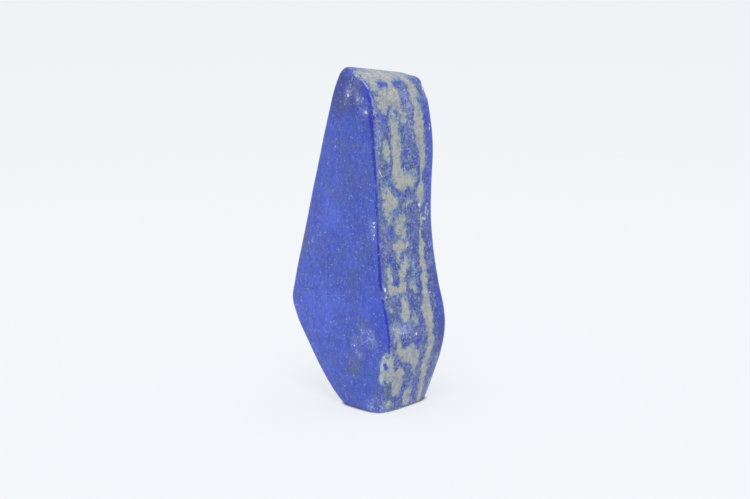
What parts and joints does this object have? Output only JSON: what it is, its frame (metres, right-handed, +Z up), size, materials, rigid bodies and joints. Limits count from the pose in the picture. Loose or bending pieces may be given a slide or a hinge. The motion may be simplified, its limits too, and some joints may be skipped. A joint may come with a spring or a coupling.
{
  "type": "polished lapis lazuli freeform",
  "caption": "Polished free-form of deep blue lapis lazuli mottled with grey-beige calcite, a tall tapered slab that stands upright on a small ground flat.",
  "frame": {"origin": "on the ground, under the middle of the stone's bounding box", "axes": "+Z up along the stone's height, +X across its broad faces towards the mottled rim, +Y through its thickness from the front broad face to the back one"},
  "size_m": [0.042, 0.024, 0.0979],
  "materials": {
    "lapis": "polished, glossy, blue with grey-beige patches and a pale vein"
  },
  "bodies": {
    "root": {"lapis_stone": "lapis"}
  },
  "joints": []
}
